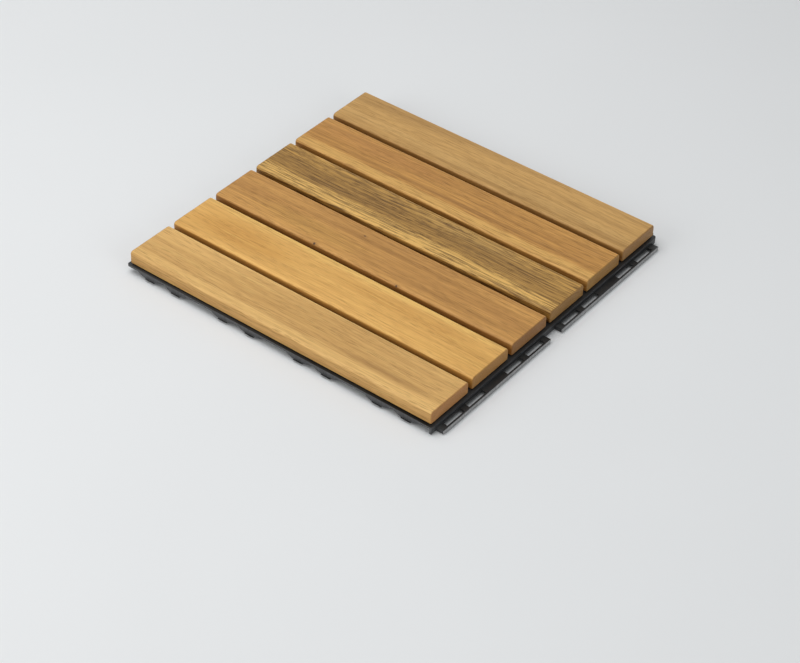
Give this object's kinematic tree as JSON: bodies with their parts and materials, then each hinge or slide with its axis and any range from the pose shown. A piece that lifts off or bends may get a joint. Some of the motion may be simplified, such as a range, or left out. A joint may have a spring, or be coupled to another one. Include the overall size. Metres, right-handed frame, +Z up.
{
  "type": "interlocking deck tile",
  "caption": "Square outdoor floor tile of oiled hardwood slats screwed to a black moulded grid with slotted flanges and hanging tabs that lock to the next tiles.",
  "frame": {"origin": "middle of the tile on the ground, under the middle foot", "axes": "+X along the slats and +Y across them, both towards a slotted flange; +Z up"},
  "size_m": [0.3059, 0.3059, 0.0195],
  "materials": {
    "moulding": "fine-grained matte black moulding",
    "wood_tan": "planed and oiled hardwood",
    "wood_golden": "planed and oiled hardwood",
    "wood_red": "planed and oiled hardwood",
    "wood_olive": "planed and oiled hardwood",
    "wood_orange": "planed and oiled hardwood",
    "wood_khaki": "planed and oiled hardwood",
    "screw_steel": "plain stainless steel"
  },
  "bodies": {
    "root": {"base_grid": "moulding", "slat_1": "wood_tan", "slat_2": "wood_golden", "slat_3": "wood_red", "slat_4": "wood_olive", "slat_5": "wood_orange", "slat_6": "wood_khaki", "screws": "screw_steel"}
  },
  "joints": []
}
